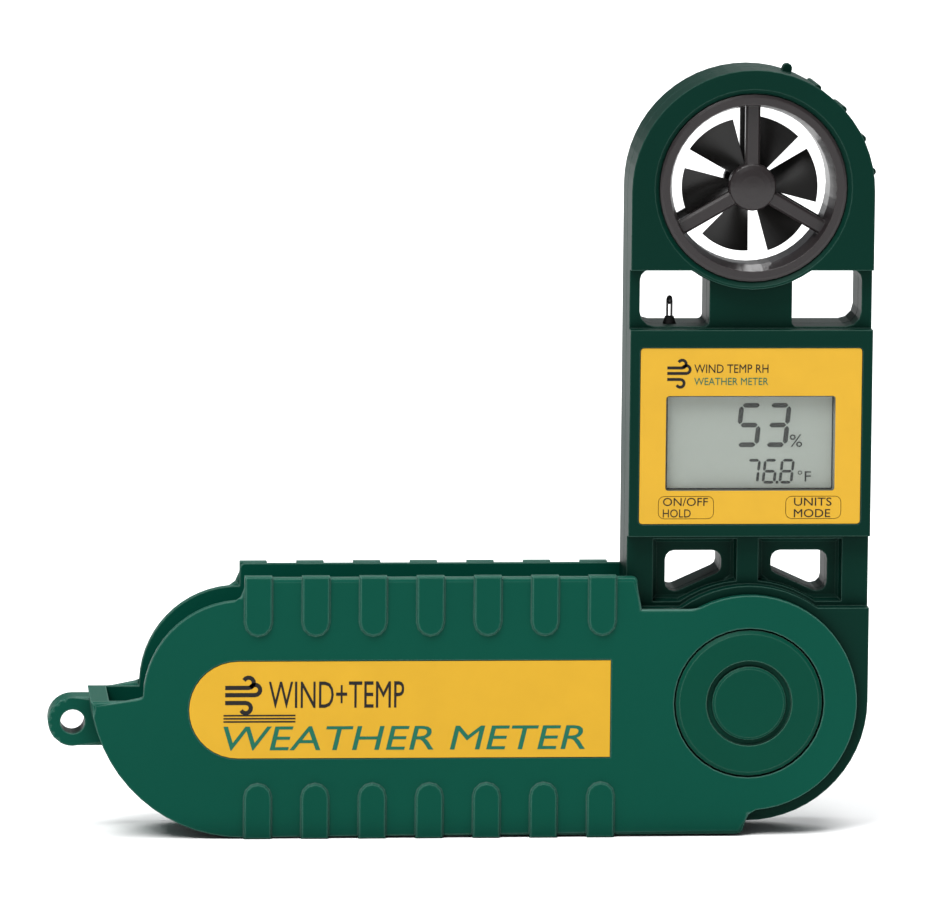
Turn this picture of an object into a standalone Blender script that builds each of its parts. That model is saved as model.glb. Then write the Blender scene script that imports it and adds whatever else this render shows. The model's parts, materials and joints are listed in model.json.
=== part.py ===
"""Handheld weather meter: a case with a display and a wind vane, folding on a pivot in a sleeve.

Metres, +Z up, the front faces -Y and X runs to the right. The origin is under the middle of the
whole object, on the surface that the sleeve's spine rests on. Places along X and Z are measured
from the fold pivot, and the two empties at the pivot carry them into this frame.
"""
import math

import bmesh
import bpy
from mathutils import Vector

# Clearances
GAP = 0.0003            # between separate pieces, and around everything that turns
FILM_GAP = 0.0001       # around and behind thin films and keys
OVERSHOOT = 0.002       # how far a cutter passes a face that it opens

# Meter case, from the pivot upwards
CASE_WIDTH = 0.0399
CASE_SHIFT = -0.0001    # centre line of the case, from the pivot
CASE_DEPTH = 0.0144
CASE_EDGE = 0.0008
REAR_EDGE = 0.0015
CASE_WALL = 0.0015
FRAME_DEPTH = 0.0096    # front of the thin sections above the hub and below the head, doubled
HUB_HEIGHT = 0.0155
HUB_COLLAR = 0.0192
HUB_FLOOR = 0.0020      # under the pocket inside the hub
HUB_SLEEVE_WALL = 0.0020
HUB_RIM_WALL = 0.0034
LOWER_FRAME = 0.0119
DISPLAY_HEIGHT = 0.0341
UPPER_FRAME = 0.0098
COLLAR_DIP = 0.0031     # of the vane's collar below the head's straight lower edge
HEAD_COLLAR_WALL = 0.0015    # around the vane's ring
MOUTH_LIP = 0.0004      # flat left of the collar's wall in front
MOUTH_SLOPE = 0.0006    # depth of the slope into the vane's bore

# Windows in the thin sections, measured from the case's centre line
NECK_HALF_WIDTH = 0.0068
SIDE_RAIL = 0.0017
UPPER_SILL = 0.0003
DISH = (0.0018, 0.0156)
DISH_TOP = 0.0007
DISH_DEPTH = 0.0022
DISH_FILLET = 0.0008
LOWER_WINDOW = (0.0041, 0.0134)
LOWER_WINDOW_TOP = 0.0029
LOWER_WINDOW_FOOT = (0.0022, 0.0055)
LOWER_WINDOW_HEEL = 0.0020

# Display stack, centred on the case's centre line
OVERLAY_MARGIN = 0.00175
OVERLAY_HEIGHT = 0.0290
OVERLAY_RISE = 0.0021   # above the display block's lower edge
OVERLAY_THICKNESS = 0.0003
OVERLAY_RECESS = 0.0005
VIEW_SIZE = (0.0279, 0.0157)
VIEW_RISE = 0.0154      # middle of the view above the display block's lower edge
WINDOW_MARGIN = 0.0001
WINDOW_THICKNESS = 0.0008
LCD_MARGIN = (0.0011, 0.0004)
LCD_THICKNESS = 0.0018
LCD_FRAME_WALL = 0.0006
ZEBRA_SIZE = (0.0240, 0.0016)
ZEBRA_THICKNESS = 0.0010
BOARD_THICKNESS = 0.0010
BOARD_MARGIN = 0.0010

# Keys
KEY_SIZE = (0.0090, 0.0036)
KEY_RISE = 0.0048
KEY_INSET = 0.0077      # from the overlay's side to the key's middle
KEY_TRAVEL = 0.0004
KEY_STEM = 0.0012
SWITCH_SIZE = (0.0040, 0.0024)
SWITCH_HEIGHT = 0.0011

# Battery and its door in the rear wall
CELL_RADIUS = 0.0100
CELL_THICKNESS = 0.0032
CELL_RISE = 0.0170
DOOR_MARGIN = 0.0015    # beyond the cell's rim
DOOR_LIP = 0.0009
DOOR_SLOT = (0.0120, 0.0016)

# Sensors
THERMISTOR_OFFSET = -0.0129
THERMISTOR_HEIGHT = 0.0039
THERMISTOR_BEAD = 0.00055
LEAD_RADIUS = 0.0002
LEAD_SPREAD = 0.0007
SEAL_RADIUS = 0.0012
RIBBON_SIZE = (0.0012, 0.0004)
RIBBON_TAIL = 0.0030
GASKET_DEPTH = 0.0012
PICKUP_SIZE = (0.0040, 0.0016, 0.0016)
HUMIDITY_SIZE = (0.0018, 0.0012, 0.0030)

# Case screws
SCREW_INSET = 0.0028
LOWER_SCREW_DROP = 0.0028
UPPER_SCREW_RISE = 0.0028
SCREW_SHANK = 0.0009
SCREW_HEAD = 0.0015
SCREW_HEAD_HEIGHT = 0.0012

# Wind vane, about its own centre
VANE_RADIUS = 0.0151
MOUTH_WALL = 0.0014
THROAT_WALL = 0.0021
VANE_DEPTH = 0.0140
VANE_FLANGE = (0.00025, 0.00035)    # reach and thickness of the ring's front flange
SPOKE_WIDTH = 0.0024
SPOKE_COUNT = 3
SPOKE_DEPTH = 0.0016
SPIDER_HUB = 0.0039
SPIDER_INSET = 0.0018
JEWEL_RADIUS = 0.0014
JEWEL_THICKNESS = 0.0012
SHAFT_RADIUS = 0.00045
BLADE_COUNT = 6
BLADE_CLEARANCE = 0.0018
BLADE_SPAN = 45.0
BLADE_RISE = 0.0034
BLADE_THICKNESS = 0.0007
IMPELLER_HUB = 0.0032
IMPELLER_DEPTH = 0.0046
FIRST_BLADE = 8.0
MAGNET_RADIUS = 0.0021
MAGNET_THICKNESS = 0.0012

# Rim of the head
PEG_ANGLE = 73.5
PEG_WIDTH = 0.0016
PEG_HEIGHT = 0.0015
PEG_DEPTH = 0.0018
HEAD_SINK = 0.0006      # of the rim's centre below the vane's
THUMB_RIB_ANGLES = (58.4, 42.5, 25.7, 9.4)
THUMB_RIB_HEIGHT = 0.0005
THUMB_RIB_WIDTH = 0.0012
THUMB_RIB_SETBACK = 0.0013

# Pivot
DISC_RADIUS = 0.0121
DISC_RISE = 0.0003      # proud of the sleeve's faces
CAP_RADIUS = 0.0061
GROOVE_WIDTH = 0.00095
CAP_THICKNESS = 0.0006
SPIGOT_RADIUS = 0.0050
PIVOT_SHANK = 0.0019
PIVOT_HEAD = 0.0036
PIVOT_HEAD_HEIGHT = 0.0013
WASHER_RADII = (0.0135, 0.0162)
WASHER_THICKNESS = 0.0006

# Sleeve
SHELL_WALL = 0.0015
SPINE_WALL = 0.0016
ROUND_END_INSET = 0.0020          # from the case's own round corner
SPINE_END = -0.0005
END_WALL = 0.00515
END_INSET = 0.0017
END_TOP = 0.0006
CUT_INSET = 0.0037
CUT_CENTRE = (-0.0015, 0.0010)    # from the folded vane's centre in X, from the pivot in Z
TAB_LEFT = 0.0018                 # from the folded vane's centre
TAB_RIGHT = -0.0185
TAB_RISE = 0.00115                # above the case's round corner
SHOULDER_DROP = 0.0060            # below the tab's top
SLEEVE_EDGE = 0.0007
LUG_RADIUS = 0.00405
LUG_HOLE = 0.0020
LUG_REACH = 0.00580     # hole centre beyond the end of the slot
LUG_DROP = 0.00365
LUG_DEPTH = 0.0054
RIB_COUNT = 7
RIB_WIDTH = 0.0045
RIB_END_MARGIN = 0.0036           # from the last rib to the tab's right end
RIB_RISE = 0.0005
RIB_WRAP = 0.00025
TOP_RIB_LENGTH = 0.0096
BOTTOM_RIB_LENGTH = 0.00895
LABEL_LEAD = 0.0072               # beyond the folded vane's centre
LABEL_RIGHT = -0.0229
LABEL_BASE = -0.0088
LABEL_HEIGHT = 0.0160
LABEL_THICKNESS = 0.0003

# Worked out from the sizes above
CASE_FACE = CASE_DEPTH / 2
FRAME_FACE = FRAME_DEPTH / 2
PARTING = GAP / 2
HALF_WIDTH = CASE_WIDTH / 2
CORNER_RADIUS = HALF_WIDTH + CASE_SHIFT
HEAD_COLLAR = VANE_RADIUS + HEAD_COLLAR_WALL
HEAD_DROP = HEAD_COLLAR - COLLAR_DIP
VANE_MOUTH = VANE_RADIUS - MOUTH_WALL
VANE_THROAT = VANE_RADIUS - THROAT_WALL
BLADE_TIP = VANE_THROAT - BLADE_CLEARANCE
OVERLAY_SIZE = (CASE_WIDTH - 2 * OVERLAY_MARGIN, OVERLAY_HEIGHT)
DOOR_RADIUS = CELL_RADIUS + DOOR_MARGIN
DISPLAY_BOTTOM = HUB_HEIGHT + LOWER_FRAME
DISPLAY_TOP = DISPLAY_BOTTOM + DISPLAY_HEIGHT
HEAD_BOTTOM = DISPLAY_TOP + UPPER_FRAME
VANE_HEIGHT = HEAD_BOTTOM + HEAD_DROP
HEAD_CENTRE = VANE_HEIGHT - HEAD_SINK
VIEW_HEIGHT = DISPLAY_BOTTOM + VIEW_RISE
KEY_HEIGHT = DISPLAY_BOTTOM + KEY_RISE
CELL_HEIGHT = DISPLAY_BOTTOM + CELL_RISE
SLEEVE_INNER = CASE_FACE + GAP
SLEEVE_FACE = SLEEVE_INNER + SHELL_WALL
RIB_FACE = SLEEVE_FACE + RIB_RISE
SPINE_INNER = HALF_WIDTH - CASE_SHIFT + GAP
SPINE_OUTER = SPINE_INNER + SPINE_WALL
ROUND_END = CORNER_RADIUS - ROUND_END_INSET
END_RADIUS = HALF_WIDTH + END_WALL
CUT_RADIUS = HALF_WIDTH - CUT_INSET
TAB_TOP = CORNER_RADIUS + TAB_RISE
SHOULDER = TAB_TOP - SHOULDER_DROP
TOP_RIB_END = TAB_TOP - TOP_RIB_LENGTH
BOTTOM_RIB_END = BOTTOM_RIB_LENGTH - SPINE_OUTER
TAB_LENGTH = VANE_HEIGHT - TAB_LEFT + TAB_RIGHT
RIB_PITCH = (TAB_LENGTH - RIB_WIDTH - RIB_END_MARGIN) / (RIB_COUNT - 1)
LABEL_LEFT = -VANE_HEIGHT - LABEL_LEAD
SLOT_END = -(VANE_HEIGHT + HALF_WIDTH + GAP)
LUG_TIP = SLOT_END - LUG_REACH - LUG_RADIUS
RIGHT_EDGE = CASE_SHIFT + (HALF_WIDTH + THUMB_RIB_HEIGHT) * math.cos(math.radians(THUMB_RIB_ANGLES[-1]))
PIVOT_X = -(LUG_TIP + RIGHT_EDGE) / 2
PIVOT_Z = SPINE_OUTER + RIB_WRAP

LOOKS = {
    "sleeve_green": ((0.012, 0.082, 0.060), 0.42, 0.0),
    "case_green": ((0.008, 0.034, 0.025), 0.45, 0.0),
    "pivot_green": ((0.010, 0.080, 0.055), 0.38, 0.0),
    "yellow_film": ((0.830, 0.485, 0.045), 0.45, 0.0),
    "clear_window": ((0.620, 0.680, 0.640), 0.12, 0.0),
    "lcd_grey": ((0.420, 0.460, 0.420), 0.30, 0.0),
    "black_plastic": ((0.022, 0.020, 0.021), 0.50, 0.0),
    "grey_rubber": ((0.060, 0.060, 0.060), 0.80, 0.0),
    "board_green": ((0.015, 0.130, 0.050), 0.45, 0.0),
    "chip_black": ((0.015, 0.015, 0.016), 0.55, 0.0),
    "steel": ((0.560, 0.570, 0.580), 0.30, 1.0),
    "brass": ((0.780, 0.570, 0.240), 0.30, 1.0),
    "sapphire": ((0.600, 0.120, 0.200), 0.15, 0.0),
    "magnet_grey": ((0.200, 0.200, 0.210), 0.40, 1.0),
    "white_ceramic": ((0.750, 0.750, 0.720), 0.50, 0.0),
}


def arc(x, z, radius, start, end):
    """Points along an arc, with the angles in degrees from +X towards +Z."""
    step = 6 if radius > 0.010 else 10 if radius > 0.004 else 30
    count = max(2, round(abs(end - start) / step))
    angles = [math.radians(start + (end - start) * i / count) for i in range(count + 1)]
    return [(x + radius * math.cos(a), z + radius * math.sin(a)) for a in angles]


def rounded(corners):
    """A closed outline; a corner given as (x, z, radius) is rounded."""
    outline = []
    for i, corner in enumerate(corners):
        here = Vector(corner[:2])
        if len(corner) == 2:
            outline.append(tuple(here))
            continue
        radius = corner[2]
        back = (Vector(corners[i - 1][:2]) - here).normalized()
        ahead = (Vector(corners[(i + 1) % len(corners)][:2]) - here).normalized()
        half = back.angle(ahead) / 2
        middle = here + (back + ahead).normalized() * (radius / math.sin(half))
        start = here + back * (radius / math.tan(half)) - middle
        end = here + ahead * (radius / math.tan(half)) - middle
        turn = start.angle_signed(end)
        count = max(2, round(math.degrees(abs(turn)) / 30))
        for k in range(count + 1):
            angle = math.atan2(start.y, start.x) - turn * k / count
            outline.append((middle.x + radius * math.cos(angle), middle.y + radius * math.sin(angle)))
    return outline


def block(x, z, width, height, radius=0.0):
    """Outline of a rectangle about (x, z), with its corners rounded."""
    signs = ((-1, -1), (1, -1), (1, 1), (-1, 1))
    corners = [(x + sx * width / 2, z + sz * height / 2) for sx, sz in signs]
    return rounded([c + (radius,) for c in corners]) if radius else corners


def new_object(name, mesh_data, parent, location=(0, 0, 0)):
    """Puts a mesh in the scene, shaded smooth, with its sloping faces split so that each is flat."""
    mesh = bpy.data.meshes.new(name)
    bmesh.ops.recalc_face_normals(mesh_data, faces=mesh_data.faces)
    sloping = [face for face in mesh_data.faces if 0.001 < abs(face.normal.y) < 0.999]
    bmesh.ops.triangulate(mesh_data, faces=sloping)
    mesh_data.to_mesh(mesh)
    mesh_data.free()
    mesh.shade_smooth()
    mesh.set_sharp_from_angle(angle=math.radians(28))
    obj = bpy.data.objects.new(name, mesh)
    bpy.context.collection.objects.link(obj)
    obj.parent = parent
    obj.location = location
    return obj


def prism(name, outlines, front, back, parent, edge=0.0, steps=1, location=(0, 0, 0)):
    """Closed solids from outlines in XZ, between two depths; edge bevels the front's rim."""
    mesh = bmesh.new()
    rims = []
    for outline in outlines:
        near = [mesh.verts.new((x, front, z)) for x, z in outline]
        far = [mesh.verts.new((x, back, z)) for x, z in outline]
        face = mesh.faces.new(near)
        mesh.faces.new(reversed(far))
        for i in range(len(outline)):
            mesh.faces.new((near[i - 1], far[i - 1], far[i], near[i]))
        rims += list(face.edges)
    if edge:
        bmesh.ops.bevel(mesh, geom=rims, offset=edge, offset_type="OFFSET", segments=steps,
                        profile=0.5, affect="EDGES", clamp_overlap=False)
    return new_object(name, mesh, parent, location)


def turned(name, profile, parent, location=(0, 0, 0), steps=30):
    """A solid turned about Y from a closed profile of (radius, y) points."""
    mesh = bmesh.new()
    rings = []
    for radius, y in profile:
        if radius == 0:
            rings.append([mesh.verts.new((0, y, 0))] * steps)
            continue
        angles = [2 * math.pi * k / steps for k in range(steps)]
        rings.append([mesh.verts.new((radius * math.cos(a), y, radius * math.sin(a))) for a in angles])
    for i in range(len(rings)):
        one, two = rings[i - 1], rings[i]
        for k in range(steps):
            corners = [one[k - 1], one[k], two[k], two[k - 1]]
            face = [v for j, v in enumerate(corners) if v not in corners[:j]]
            if len(face) > 2:
                mesh.faces.new(face)
    return new_object(name, mesh, parent, location)


def box(name, low, high, parent):
    """A plain block between two corners."""
    outline = [(low[0], low[2]), (high[0], low[2]), (high[0], high[2]), (low[0], high[2])]
    return prism(name, [outline], low[1], high[1], parent)


def combine(target, tool, operation):
    """Adds a Boolean of a guide solid, which stays hidden from the render."""
    tool.hide_render = True
    tool.display_type = "WIRE"
    modifier = target.modifiers.new(tool.name, "BOOLEAN")
    modifier.operation = operation
    modifier.solver = "EXACT"
    modifier.use_hole_tolerant = True
    modifier.object = tool


def cut(target, tool):
    combine(target, tool, "DIFFERENCE")


def join(target, tool):
    combine(target, tool, "UNION")


def finish(obj, look):
    """Gives an object its own material."""
    colour, roughness, metallic = LOOKS[look]
    material = bpy.data.materials.new(obj.name)
    material.use_nodes = True
    shader = material.node_tree.nodes["Principled BSDF"]
    shader.inputs["Base Color"].default_value = colour + (1.0,)
    shader.inputs["Roughness"].default_value = roughness
    shader.inputs["Metallic"].default_value = metallic
    obj.data.materials.append(material)
    return obj


def axis_empty(name, location, parent=None):
    empty = bpy.data.objects.new(name, None)
    empty.empty_display_size = 0.01
    empty.location = location
    empty.parent = parent
    bpy.context.collection.objects.link(empty)
    return empty


# Sleeve

def sleeve_outline():
    """Side plate: round end at the pivot, grip tab on top, cut back for the vane, spine below."""
    folded = -VANE_HEIGHT
    end_x = folded + END_INSET
    end_z = END_RADIUS - SPINE_OUTER
    foot = math.degrees(math.acos(SPINE_END / ROUND_END))
    shoulder = 180 - math.degrees(math.asin(SHOULDER / ROUND_END))
    notch = 180 + math.degrees(math.asin((end_z - END_TOP) / END_RADIUS))
    cut_x = folded - CUT_CENTRE[0]
    corners = arc(0, 0, ROUND_END, -foot, shoulder)
    corners += [(TAB_RIGHT, SHOULDER, 0.0003), (TAB_RIGHT, TAB_TOP, 0.0009)]
    corners += [(folded + TAB_LEFT, TAB_TOP, 0.0009)]
    corners += arc(cut_x, CUT_CENTRE[1], CUT_RADIUS, 89, 178)
    corners += [(cut_x - CUT_RADIUS, END_TOP)]
    corners += arc(end_x, end_z, END_RADIUS, notch, 270)
    corners += [(SPINE_END, -SPINE_OUTER, 0.0013)]
    return rounded(corners)


def slot_outline():
    """The space between the plates that the folded case fills, open above and at the pivot end."""
    corners = arc(-VANE_HEIGHT, CASE_SHIFT, HALF_WIDTH + GAP, 270, 180)
    top = TAB_TOP + OVERSHOOT
    right = RIGHT_EDGE + OVERSHOOT
    return corners + [(SLOT_END, top), (right, top), (right, -SPINE_INNER)]


def rib_outlines():
    """Two rows of grip ribs with round ends, wrapping over the tab's top and under the spine."""
    left = -VANE_HEIGHT + TAB_LEFT
    half = RIB_WIDTH / 2
    outlines = []
    for i in range(RIB_COUNT):
        x = left + half + RIB_PITCH * i
        top = TAB_TOP + RIB_WRAP
        base = -SPINE_OUTER - RIB_WRAP
        lower = arc(x, TOP_RIB_END + half, half, 180, 360)
        upper = arc(x, BOTTOM_RIB_END - half, half, 0, 180)
        outlines.append([(x + half, top), (x - half, top)] + lower)
        outlines.append([(x - half, base), (x + half, base)] + upper)
    return outlines


def label_outline(margin):
    """The sleeve's label: round at the left, square at the right."""
    radius = LABEL_HEIGHT / 2
    middle = LABEL_BASE + radius
    left = arc(LABEL_LEFT + radius, middle, radius + margin, 90, 270)
    right = LABEL_RIGHT + margin
    return left + [(right, middle - radius - margin), (right, middle + radius + margin)]


def build_sleeve(parent):
    front = prism("sleeve_front_shell", [sleeve_outline()], -SLEEVE_FACE, SLEEVE_INNER - GAP,
                  parent, SLEEVE_EDGE, 2)
    rear = prism("sleeve_rear_cover", [sleeve_outline()], SLEEVE_FACE, SLEEVE_INNER, parent,
                 SLEEVE_EDGE, 2)
    ribs = prism("front_ribs", rib_outlines(), -RIB_FACE, SLEEVE_INNER - 2 * GAP, parent, 0.0002)
    slot = prism("slot_cut", [slot_outline()], -SLEEVE_INNER, SLEEVE_FACE, parent)
    rear_ribs = prism("rear_ribs", rib_outlines(), RIB_FACE, SLEEVE_INNER + GAP, parent, 0.0002)
    join(front, ribs)
    cut(front, slot)
    join(rear, rear_ribs)
    lug_x = SLOT_END - LUG_REACH
    lug_edges = arc(lug_x, -LUG_DROP, LUG_RADIUS, 90, 270)
    root = SLOT_END - GAP
    lug = prism("lug", [lug_edges + [(root, -LUG_DROP - LUG_RADIUS), (root, -LUG_DROP + LUG_RADIUS)]],
                -LUG_DEPTH / 2, LUG_DEPTH / 2, parent, 0.0006, 2)
    hole = turned("lug_hole", [(0, -LUG_DEPTH), (LUG_HOLE, -LUG_DEPTH), (LUG_HOLE, LUG_DEPTH),
                               (0, LUG_DEPTH)], parent, (lug_x, 0, -LUG_DROP), 24)
    join(front, lug)
    cut(front, hole)
    reach = SLEEVE_FACE + OVERSHOOT
    bore = turned("pivot_holes", [(0, -reach), (DISC_RADIUS + GAP, -reach), (DISC_RADIUS + GAP, reach),
                                  (0, reach)], parent, steps=40)
    cut(front, bore)
    cut(rear, bore)
    floor = -SLEEVE_FACE + LABEL_THICKNESS
    recess = prism("label_recess", [label_outline(FILM_GAP)], -SLEEVE_FACE - OVERSHOOT, floor, parent)
    cut(front, recess)
    label = prism("sleeve_label", [label_outline(0)], floor - FILM_GAP - LABEL_THICKNESS,
                  floor - FILM_GAP, parent)
    finish(front, "sleeve_green")
    finish(rear, "sleeve_green")
    finish(label, "yellow_film")


# Meter case

def case_outline():
    """The whole case from the front: round hub corners, straight sides and a round head."""
    right = CASE_SHIFT + HALF_WIDTH
    left = CASE_SHIFT - HALF_WIDTH
    corners = arc(2 * CASE_SHIFT, 0, CORNER_RADIUS, 180, 270)
    corners += arc(0, 0, CORNER_RADIUS, 270, 360)
    corners += arc(CASE_SHIFT, HEAD_CENTRE, HALF_WIDTH, 0, 180)
    return corners


def thin_outlines():
    """Where the case steps down to the thin sections, around the hub's and the head's collars."""
    side = HALF_WIDTH + OVERSHOOT
    meet = math.degrees(math.asin(HUB_HEIGHT / HUB_COLLAR))
    lower = [(-side + CASE_SHIFT, HUB_HEIGHT)] + arc(0, 0, HUB_COLLAR, 180 - meet, meet)
    lower += [(side + CASE_SHIFT, HUB_HEIGHT), (side + CASE_SHIFT, DISPLAY_BOTTOM)]
    lower += [(-side + CASE_SHIFT, DISPLAY_BOTTOM)]
    meet = math.degrees(math.asin(HEAD_DROP / HEAD_COLLAR))
    upper = [(side + CASE_SHIFT, HEAD_BOTTOM)]
    upper += arc(CASE_SHIFT, VANE_HEIGHT, HEAD_COLLAR, 360 - meet, 180 + meet)
    upper += [(-side + CASE_SHIFT, HEAD_BOTTOM), (-side + CASE_SHIFT, DISPLAY_TOP)]
    upper += [(side + CASE_SHIFT, DISPLAY_TOP)]
    return [lower, upper]


def mirrored(outline):
    """The same outline on both sides of the case's centre line, x given from that line."""
    right = [(CASE_SHIFT + x, z) for x, z in outline]
    left = [(CASE_SHIFT - x, z) for x, z in reversed(outline)]
    return [left, right]


def window_outlines():
    """Openings right through the thin sections: two beside the neck, two above the hub."""
    near, far = NECK_HALF_WIDTH, HALF_WIDTH - SIDE_RAIL
    sill = DISPLAY_TOP + UPPER_SILL
    reach = HEAD_COLLAR + GAP
    lintel = HEAD_BOTTOM - FILM_GAP
    meet = 360 - math.degrees(math.asin((VANE_HEIGHT - lintel) / reach))
    inner = 360 - math.degrees(math.acos(near / reach))
    upper = rounded([(near, sill, 0.0008), (far, sill, 0.0025), (far, lintel, 0.0017)]
                    + arc(0, VANE_HEIGHT, reach, meet, inner))
    near, far = LOWER_WINDOW
    top = DISPLAY_BOTTOM - LOWER_WINDOW_TOP
    low, high = (HUB_HEIGHT + rise for rise in LOWER_WINDOW_FOOT)
    heel = far - LOWER_WINDOW_HEEL
    lower = rounded([(near, high, 0.0012), (heel, low, 0.0015), (far, low, 0.0015),
                     (far, top, 0.0015), (near, top, 0.0015)])
    return mirrored(upper) + mirrored(lower)


def dish_outlines():
    """Shallow dishes around the lower windows, following the hub's collar."""
    near, far = DISH
    reach = HUB_COLLAR + 0.0006
    low = HUB_HEIGHT + 0.0008
    top = DISPLAY_BOTTOM - DISH_TOP
    meet = math.degrees(math.asin(low / reach))
    inner = math.degrees(math.acos(near / reach))
    dish = arc(0, 0, reach, inner, meet) + [(far, low), (far, top), (near, top)]
    return mirrored(dish)


def display_cavity():
    width = CASE_WIDTH - 2 * (CASE_WALL + 0.0002)
    height = DISPLAY_HEIGHT - 2 * CASE_WALL
    return block(CASE_SHIFT, DISPLAY_BOTTOM + DISPLAY_HEIGHT / 2, width, height, 0.001)


def rim_peg_outlines(angles, width, height):
    """Round-topped pegs or ribs standing on the head's rim."""
    outlines = []
    for angle in angles:
        out = Vector((math.cos(math.radians(angle)), math.sin(math.radians(angle))))
        side = Vector((-out.y, out.x))
        centre = Vector((CASE_SHIFT, HEAD_CENTRE))
        round_end = min(height, width / 2)
        shape = [(width / 2 * math.cos(math.radians(a)), HALF_WIDTH + height - round_end
                  + round_end * math.sin(math.radians(a))) for a in range(180, -1, -30)]
        root = HALF_WIDTH - 0.0012
        shape = [(-width / 2, root)] + shape + [(width / 2, root)]
        outlines.append([tuple(centre + side * -s + out * r) for s, r in shape])
    return outlines


def build_case_half(name, sign, parent):
    """One half of the case, from its face (sign -1 in front, +1 behind) to the parting."""
    face = sign * CASE_FACE
    beyond = face + sign * OVERSHOOT
    inside = -sign * OVERSHOOT
    edge = CASE_EDGE if sign < 0 else REAR_EDGE
    half = prism(name, [case_outline()], face, sign * PARTING, parent, edge, 2)
    ribs = rim_peg_outlines(THUMB_RIB_ANGLES, THUMB_RIB_WIDTH, THUMB_RIB_HEIGHT)
    join(half, prism(name + "_thumb_ribs", ribs, face - sign * THUMB_RIB_SETBACK, sign * PARTING, parent))
    if sign < 0:
        peg = rim_peg_outlines([PEG_ANGLE], PEG_WIDTH, PEG_HEIGHT)
        join(half, prism("stop_peg", peg, -PEG_DEPTH, -PARTING, parent))
        cut(half, prism("thin_sections", thin_outlines(), beyond, -FRAME_FACE, parent))
        cut(half, prism("window_dishes", dish_outlines(), DISH_DEPTH - FRAME_FACE, beyond, parent,
                        DISH_FILLET, 2))
    cut(half, prism(name + "_windows", window_outlines(), beyond, inside, parent))
    bore = VANE_RADIUS + GAP / 2
    mouth = bore + VANE_FLANGE[0]
    mouth_foot = CASE_FACE - MOUTH_SLOPE
    seat = sign * min(mouth_foot - FILM_GAP, VANE_DEPTH / 2 - VANE_FLANGE[1] - GAP)
    profile = [(0, beyond), (HEAD_COLLAR + OVERSHOOT / 2, beyond), (HEAD_COLLAR - MOUTH_LIP, face),
               (mouth, sign * mouth_foot), (mouth, seat), (bore, seat), (bore, inside), (0, inside)]
    cut(half, turned(name + "_vane_bore", profile, parent, (CASE_SHIFT, 0, VANE_HEIGHT), 48))
    cavity = prism(name + "_cavity", [display_cavity()], face - sign * CASE_WALL, inside, parent)
    cut(half, cavity)
    hub = SPIGOT_RADIUS + GAP
    pivot_bore = turned(name + "_pivot_bore", [(0, beyond), (hub, beyond), (hub, inside), (0, inside)],
                        parent)
    cut(half, pivot_bore)
    floor = sign * (CASE_FACE - HUB_FLOOR)
    inner, outer = hub + HUB_SLEEVE_WALL, CORNER_RADIUS - HUB_RIM_WALL
    pocket = turned(name + "_hub_pocket", [(inner, floor), (outer, floor), (outer, inside),
                                           (inner, inside)], parent)
    cut(half, pocket)
    seat = turned(name + "_seal_seat", [(0, inside), (SEAL_RADIUS, inside), (SEAL_RADIUS, -inside),
                                        (0, -inside)], parent, steps=16)
    seat.rotation_euler.x = math.radians(90)
    seat.location = (CASE_SHIFT + THERMISTOR_OFFSET, 0, DISPLAY_TOP)
    cut(half, seat)
    ribbon_front = GASKET_DEPTH / 2 + GAP + RIBBON_SIZE[1]
    drop = max(PICKUP_SIZE[1] / 2, ribbon_front) + GAP
    channel_top = VANE_HEIGHT - VANE_RADIUS - GAP - 0.0004
    channel = box(name + "_lead_channel", (CASE_SHIFT - PICKUP_SIZE[0] / 2 - GAP, -drop,
                                           DISPLAY_TOP - CASE_WALL - OVERSHOOT),
                  (CASE_SHIFT + PICKUP_SIZE[0] / 2 + GAP, drop, channel_top), parent)
    cut(half, channel)
    return half


def screw_places():
    lower = HUB_HEIGHT - LOWER_SCREW_DROP
    upper = HEAD_BOTTOM + UPPER_SCREW_RISE
    return [(CASE_SHIFT + side * (HALF_WIDTH - SCREW_INSET), z) for z in (lower, upper) for side in (-1, 1)]


def key_places():
    reach = OVERLAY_SIZE[0] / 2 - KEY_INSET
    return [("power_key", CASE_SHIFT - reach), ("mode_key", CASE_SHIFT + reach)]


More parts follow.
